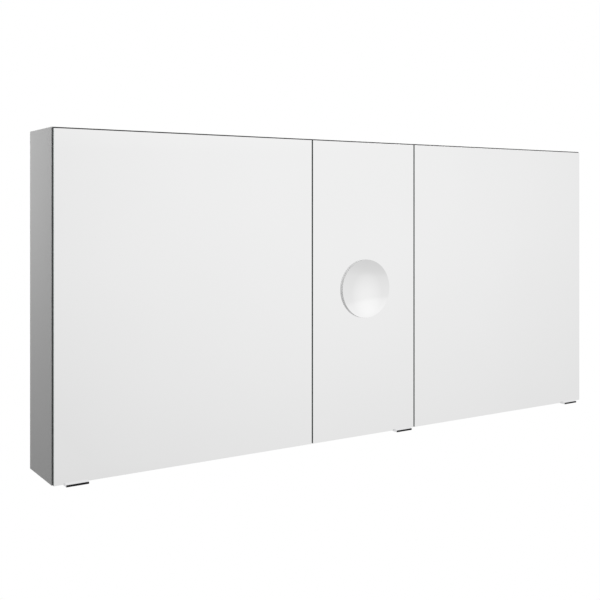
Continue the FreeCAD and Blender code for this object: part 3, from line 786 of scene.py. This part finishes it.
class CABINET_OT_magnifier(Operator):
    """Models the round magnifying mirror"""

    bl_idname = "cabinet.magnifier"
    bl_label = "Magnifier"

    def execute(self, context):
        sizes = context.scene.cabinet_sizes
        finishes = context.scene.cabinet_finishes
        rim = plated_metal("satin_rim", finishes.rim, grain=0.01, smooth=0.30, rough=0.36)
        silver = mirror_silver("dish_silver", finishes.silver)
        dress(self.housing(sizes), "magnifier_rim", [rim], "magnifier_housing")
        dish = self.glass(sizes)
        paint(dish, EDGE, lambda face: face.normal.y > -LOOKS_ALONG)
        dress(dish, "mirror_glass", [silver, rim], "magnifier_glass")
        coat("magnifier_pad", foam_pad(finishes.pad))
        return {"FINISHED"}

    def housing(self, sizes):
        """A disc with a hollow front that seats the glass, a flange over the well and a boss in it."""
        low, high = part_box("magnifier_housing")
        radius = (high.x - low.x) / 2
        curve = sizes.dish_curve + sizes.dish_glass + sizes.dish_glue
        flange_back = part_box("middle_front_mirror")[0].y - sizes.flange_lift
        share = (sizes.well_radius - sizes.well_play) / radius
        disc = self.hollow("magnifier_housing_disc", low, high, radius, curve)
        make_active(disc)
        bpy.ops.object.mode_set(mode="EDIT")
        pick_edges(disc, lambda edge: edge.is_boundary)
        bpy.ops.mesh.extrude_region_move(TRANSFORM_OT_translate={"value": (0, flange_back - low.y, 0)})
        bpy.ops.mesh.extrude_region_move(TRANSFORM_OT_translate={"value": (0, 0, 0)})
        bpy.ops.transform.resize(value=(share, 1, share), center_override=(low + high) / 2)
        bpy.ops.mesh.extrude_region_move(TRANSFORM_OT_translate={"value": (0, high.y - flange_back, 0)})
        bpy.ops.mesh.edge_face_add()
        bpy.ops.mesh.select_all(action="SELECT")
        bpy.ops.mesh.normals_make_consistent(inside=False)
        bpy.ops.object.mode_set(mode="OBJECT")

        def round_the_rim(edge):
            """Whether an edge runs round the back of the flange."""
            outside = all(math.hypot(corner.co.x, corner.co.z) > sizes.well_radius for corner in edge.verts)
            return outside and lies_at(edge, DEPTH, flange_back)

        bevel_edges(disc, sizes.rim_arris, ROUNDED, round_the_rim)
        return disc

    def glass(self, sizes):
        """The bent glass, ground square to its face at the rim."""
        low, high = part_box("magnifier_glass")
        radius = (high.x - low.x) / 2
        face_radius = radius * (1 - sizes.dish_glass / sizes.dish_curve)
        dish = self.hollow("magnifier_glass_dish", low, high, face_radius, sizes.dish_curve)
        modify(dish, "SOLIDIFY", thickness=sizes.dish_glass, offset=-1)
        return dish

    def hollow(self, name, low, high, radius, curve):
        """A round hollow face, drawn in ring by ring from its rim at the front of a box to its middle."""
        middle = (low + high) / 2

        def sink(out):
            """How far the face lies behind its rim at some distance from the middle."""
            return math.sqrt(curve**2 - out**2) - math.sqrt(curve**2 - radius**2)

        bpy.ops.object.select_all(action="DESELECT")
        bpy.ops.mesh.primitive_circle_add(
            vertices=DISH_SIDES, radius=radius, location=(middle.x, low.y, middle.z), rotation=TURNS["Y"]
        )
        face = named(name)
        bpy.ops.object.mode_set(mode="EDIT")
        bpy.ops.mesh.select_all(action="SELECT")
        out = radius
        for ring in range(1, DISH_RINGS):
            closer = radius * (1 - ring / DISH_RINGS)
            step = (0, sink(closer) - sink(out), 0)
            bpy.ops.mesh.extrude_region_move(TRANSFORM_OT_translate={"value": step})
            share = closer / out
            bpy.ops.transform.resize(value=(share, 1, share), center_override=middle)
            out = closer
        bpy.ops.mesh.extrude_region_move(TRANSFORM_OT_translate={"value": (0, sink(0) - sink(out), 0)})
        bpy.ops.mesh.merge(type="CENTER")
        bpy.ops.mesh.select_all(action="SELECT")
        bpy.ops.mesh.normals_make_consistent(inside=False)
        bpy.ops.object.mode_set(mode="OBJECT")
        if face.data.polygons[0].normal.y > 0:
            face.data.flip_normals()
        return face


class CABINET_OT_stage(Operator):
    """Sets the floor, lamps, background and camera"""

    bl_idname = "cabinet.stage"
    bl_label = "Stage"

    def execute(self, context):
        stage = context.scene.cabinet_stage
        self.floor(stage)
        self.surround(context.scene, stage)
        key = self.lamp("key_lamp", stage.key_place, stage.key_width, stage.key_power)
        front = self.lamp("front_lamp", stage.front_place, stage.front_width, stage.front_power)
        for lamp in (key, front):
            lamp.visible_glossy = False
        self.lamp("fill_lamp", stage.fill_place, stage.fill_width, stage.fill_power)
        self.camera(context.scene, stage)
        context.scene.view_settings.view_transform = "Standard"
        return {"FINISHED"}

    def floor(self, stage):
        """A pale floor well below the cabinet, which is white where the camera looks past."""
        bpy.ops.object.select_all(action="DESELECT")
        bpy.ops.mesh.primitive_plane_add(size=stage.floor_width, location=(0, 0, -stage.floor_drop))
        floor = named("floor")
        material = bpy.data.materials.new("pale_floor")
        material.use_nodes = True
        nodes, links = material.node_tree.nodes, material.node_tree.links
        shader = nodes["Principled BSDF"]
        shader.inputs["Base Color"].default_value = (*stage.floor, 1)
        shader.inputs["Roughness"].default_value = FLOOR_ROUGHNESS
        glow = nodes.new("ShaderNodeEmission")
        mix = nodes.new("ShaderNodeMixShader")
        links.new(self.seen(nodes, links), mix.inputs["Fac"])
        links.new(shader.outputs["BSDF"], mix.inputs[1])
        links.new(glow.outputs["Emission"], mix.inputs[2])
        links.new(mix.outputs["Shader"], nodes["Material Output"].inputs["Surface"])
        floor.data.materials.append(material)
        floor.visible_glossy = False

    def seen(self, nodes, links):
        """1 for rays that show the background: from the camera, off metal and through glass."""
        path = nodes.new("ShaderNodeLightPath")
        total = path.outputs["Is Camera Ray"]
        for name in ("Is Glossy Ray", "Is Transmission Ray"):
            either = nodes.new("ShaderNodeMath")
            either.operation = "MAXIMUM"
            links.new(total, either.inputs[0])
            links.new(path.outputs[name], either.inputs[1])
            total = either.outputs["Value"]
        return total

    def surround(self, scene, stage):
        """White for the camera, a soft shade for mirrors, and even light for the rest."""
        world = bpy.data.worlds.new("studio")
        scene.world = world
        world.use_nodes = True
        nodes, links = world.node_tree.nodes, world.node_tree.links
        ambient = nodes["Background"]
        ambient.inputs["Color"].default_value = WHITE
        ambient.inputs["Strength"].default_value = stage.ambient
        shown = nodes.new("ShaderNodeBackground")
        self.shade_room(nodes, links, shown)
        white = nodes.new("ShaderNodeBackground")
        white.inputs["Color"].default_value = WHITE
        mirrored = nodes.new("ShaderNodeMixShader")
        links.new(self.seen(nodes, links), mirrored.inputs["Fac"])
        links.new(ambient.outputs["Background"], mirrored.inputs[1])
        links.new(shown.outputs["Background"], mirrored.inputs[2])
        behind = nodes.new("ShaderNodeMixShader")
        path = nodes.new("ShaderNodeLightPath")
        links.new(path.outputs["Is Camera Ray"], behind.inputs["Fac"])
        links.new(mirrored.outputs["Shader"], behind.inputs[1])
        links.new(white.outputs["Background"], behind.inputs[2])
        links.new(behind.outputs["Shader"], nodes["World Output"].inputs["Surface"])

    def shade_room(self, nodes, links, room):
        """The pale room in front of the mirrors: lighter towards its ceiling, and away from its corners."""
        way = nodes.new("ShaderNodeTexCoord").outputs["Generated"]
        split = nodes.new("ShaderNodeSeparateXYZ")
        links.new(way, split.inputs["Vector"])
        height = nodes.new("ShaderNodeMapRange")
        height.inputs["From Min"].default_value = ROOM_DOWN
        height.inputs["From Max"].default_value = ROOM_UP
        links.new(split.outputs["Z"], height.inputs["Value"])
        ramp = nodes.new("ShaderNodeValToRGB")
        elements = ramp.color_ramp.elements
        for slope, tone in ROOM_SHADES[1:-1]:
            elements.new(slope)
        for element, (slope, tone) in zip(elements, ROOM_SHADES):
            element.position = slope
            element.color = (tone, tone, tone, 1)
        links.new(height.outputs["Result"], ramp.inputs["Fac"])
        links.new(ramp.outputs["Color"], room.inputs["Color"])
        facing = nodes.new("ShaderNodeVectorMath")
        facing.operation = "DOT_PRODUCT"
        facing.inputs[1].default_value = ROOM_MIDDLE
        links.new(way, facing.inputs[0])
        corner = nodes.new("ShaderNodeMapRange")
        corner.inputs["From Min"].default_value = CORNER_FACING
        corner.inputs["To Min"].default_value = CORNER_SHADE
        links.new(facing.outputs["Value"], corner.inputs["Value"])
        links.new(corner.outputs["Result"], room.inputs["Strength"])

    def lamp(self, name, place, width, energy):
        """A soft square lamp that faces the cabinet."""
        turn = (-Vector(place)).to_track_quat("-Z", "Y").to_euler()
        bpy.ops.object.light_add(type="AREA", location=place, rotation=turn)
        lamp = bpy.context.object
        lamp.name = name
        lamp.data.size = width
        lamp.data.energy = energy
        return lamp

    def camera(self, scene, stage):
        """A level camera whose lens is shifted down."""
        turn = (QUARTER_TURN, 0, -stage.camera_turn)
        bpy.ops.object.camera_add(location=stage.camera_place, rotation=turn)
        camera = bpy.context.object
        camera.data.lens = stage.lens
        camera.data.shift_y = -stage.lens_drop
        scene.camera = camera


class CABINET_PT_panel(Panel):
    """Lists the steps that make the cabinet"""

    bl_idname = "CABINET_PT_panel"
    bl_label = "Mirror Cabinet"
    bl_space_type = "VIEW_3D"
    bl_region_type = "UI"
    bl_category = "Cabinet"

    def draw(self, context):
        for step in STEPS:
            self.layout.operator(step.bl_idname)
        for group in GROUPS:
            values = getattr(context.scene, group)
            for name in values.__annotations__:
                self.layout.prop(values, name)


GROUPS = {
    "cabinet_sizes": CabinetSizes,
    "cabinet_finishes": CabinetFinishes,
    "cabinet_stage": CabinetStage,
}
STEPS = (
    CABINET_OT_boards,
    CABINET_OT_shelves,
    CABINET_OT_fittings,
    CABINET_OT_panes,
    CABINET_OT_hinges,
    CABINET_OT_screws,
    CABINET_OT_pulls,
    CABINET_OT_magnifier,
    CABINET_OT_stage,
)
CLASSES = (*GROUPS.values(), *STEPS, CABINET_PT_panel)


def register():
    """Adds the cabinet's steps and settings to Blender."""
    for item in CLASSES:
        bpy.utils.register_class(item)
    for name, kind in GROUPS.items():
        setattr(bpy.types.Scene, name, PointerProperty(type=kind))


def unregister():
    """Takes them out again."""
    for name in GROUPS:
        delattr(bpy.types.Scene, name)
    for item in reversed(CLASSES):
        bpy.utils.unregister_class(item)


def main():
    """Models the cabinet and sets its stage."""
    register()
    bpy.ops.cabinet.boards()
    bpy.ops.cabinet.shelves()
    bpy.ops.cabinet.fittings()
    bpy.ops.cabinet.panes()
    bpy.ops.cabinet.hinges()
    bpy.ops.cabinet.screws()
    bpy.ops.cabinet.pulls()
    bpy.ops.cabinet.magnifier()
    bpy.ops.cabinet.stage()


if __name__ == "__main__":
    main()
